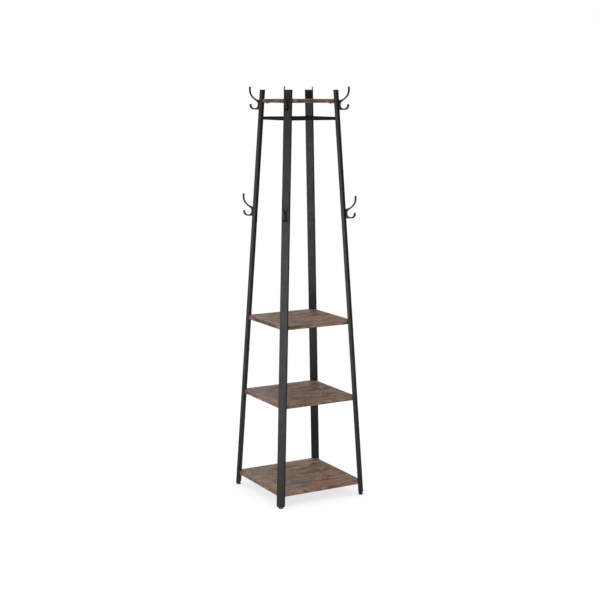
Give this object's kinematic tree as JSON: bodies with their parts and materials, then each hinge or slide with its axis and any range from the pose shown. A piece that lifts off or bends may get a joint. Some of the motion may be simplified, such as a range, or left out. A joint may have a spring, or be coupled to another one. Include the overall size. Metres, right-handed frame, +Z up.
{
  "type": "hall tree with hooks",
  "caption": "Free-standing hall tree: four leaning steel legs hold square shelves, a small top board, double coat hooks and levelling feet.",
  "frame": {"origin": "on the floor, at the centre of the footprint", "axes": "+Z up, -Y the front side, +X to the right seen from the front"},
  "size_m": [0.4436, 0.4436, 1.8135],
  "materials": {
    "black_steel": "matt black powder coat",
    "rustic_board": "weathered brown wood grain, satin",
    "black_plastic": "fine-textured black moulding",
    "dark_screw_steel": "blackened steel, satin",
    "zinc_steel": "zinc-plated",
    "brass": "machined"
  },
  "bodies": {
    "frame": {"leg_front_left": "black_steel", "leg_front_right": "black_steel", "leg_back_left": "black_steel", "leg_back_right": "black_steel", "cap_front_left": "black_plastic", "cap_front_right": "black_plastic", "cap_back_left": "black_plastic", "cap_back_right": "black_plastic", "plug_front_left": "black_plastic", "plug_front_right": "black_plastic", "plug_back_left": "black_plastic", "plug_back_right": "black_plastic", "hook_upper_front_left": "black_steel", "hook_upper_front_right": "black_steel", "hook_upper_back_left": "black_steel", "hook_upper_back_right": "black_steel", "hook_lower_front_left": "black_steel", "hook_lower_front_right": "black_steel", "hook_lower_back_left": "black_steel", "hook_lower_back_right": "black_steel", "ring_bar_front": "black_steel", "ring_bar_right": "black_steel", "ring_bar_back": "black_steel", "ring_bar_left": "black_steel", "lower_shelf": "rustic_board", "lower_shelf_bracket_front_left": "black_steel", "lower_shelf_bracket_front_right": "black_steel", "lower_shelf_bracket_back_left": "black_steel", "lower_shelf_bracket_back_right": "black_steel", "lower_shelf_screws": "dark_screw_steel", "lower_shelf_thread_inserts": "brass", "middle_shelf": "rustic_board", "middle_shelf_bracket_front_left": "black_steel", "middle_shelf_bracket_front_right": "black_steel", "middle_shelf_bracket_back_left": "black_steel", "middle_shelf_bracket_back_right": "black_steel", "middle_shelf_screws": "dark_screw_steel", "middle_shelf_thread_inserts": "brass", "upper_shelf": "rustic_board", "upper_shelf_bracket_front_left": "black_steel", "upper_shelf_bracket_front_right": "black_steel", "upper_shelf_bracket_back_left": "black_steel", "upper_shelf_bracket_back_right": "black_steel", "upper_shelf_screws": "dark_screw_steel", "upper_shelf_thread_inserts": "brass", "top_board": "rustic_board", "top_board_bracket_front_left": "black_steel", "top_board_bracket_front_right": "black_steel", "top_board_bracket_back_left": "black_steel", "top_board_bracket_back_right": "black_steel", "top_board_screws": "dark_screw_steel", "top_board_thread_inserts": "brass"},
    "foot_pad_front_left": {"foot_pad_front_left": "black_plastic"},
    "foot_stud_front_left": {"foot_stud_front_left": "zinc_steel"},
    "foot_pad_front_right": {"foot_pad_front_right": "black_plastic"},
    "foot_stud_front_right": {"foot_stud_front_right": "zinc_steel"},
    "foot_pad_back_left": {"foot_pad_back_left": "black_plastic"},
    "foot_stud_back_left": {"foot_stud_back_left": "zinc_steel"},
    "foot_pad_back_right": {"foot_pad_back_right": "black_plastic"},
    "foot_stud_back_right": {"foot_stud_back_right": "zinc_steel"}
  },
  "joints": [
    {"name": "foot_height_front_left", "type": "slide", "parent": "frame", "child": "foot_pad_front_left", "axis": [0, 0, -1], "range_m": [0, 0.008]},
    {"name": "foot_turn_front_left", "type": "hinge", "parent": "foot_pad_front_left", "child": "foot_stud_front_left", "pos_m": [-0.20487, -0.20487, 0.005], "axis": [0, 0, -1], "range_deg": [0, 2880]},
    {"name": "foot_height_front_right", "type": "slide", "parent": "frame", "child": "foot_pad_front_right", "axis": [0, 0, -1], "range_m": [0, 0.008]},
    {"name": "foot_turn_front_right", "type": "hinge", "parent": "foot_pad_front_right", "child": "foot_stud_front_right", "pos_m": [0.20487, -0.20487, 0.005], "axis": [0, 0, -1], "range_deg": [0, 2880]},
    {"name": "foot_height_back_left", "type": "slide", "parent": "frame", "child": "foot_pad_back_left", "axis": [0, 0, -1], "range_m": [0, 0.008]},
    {"name": "foot_turn_back_left", "type": "hinge", "parent": "foot_pad_back_left", "child": "foot_stud_back_left", "pos_m": [-0.20487, 0.20487, 0.005], "axis": [0, 0, -1], "range_deg": [0, 2880]},
    {"name": "foot_height_back_right", "type": "slide", "parent": "frame", "child": "foot_pad_back_right", "axis": [0, 0, -1], "range_m": [0, 0.008]},
    {"name": "foot_turn_back_right", "type": "hinge", "parent": "foot_pad_back_right", "child": "foot_stud_back_right", "pos_m": [0.20487, 0.20487, 0.005], "axis": [0, 0, -1], "range_deg": [0, 2880]}
  ],
  "couplings": [
    {"joint": "foot_turn_front_left", "follows": "foot_height_front_left", "rad_per_m": 6283.2},
    {"joint": "foot_turn_front_right", "follows": "foot_height_front_right", "rad_per_m": 6283.2},
    {"joint": "foot_turn_back_left", "follows": "foot_height_back_left", "rad_per_m": 6283.2},
    {"joint": "foot_turn_back_right", "follows": "foot_height_back_right", "rad_per_m": 6283.2}
  ]
}
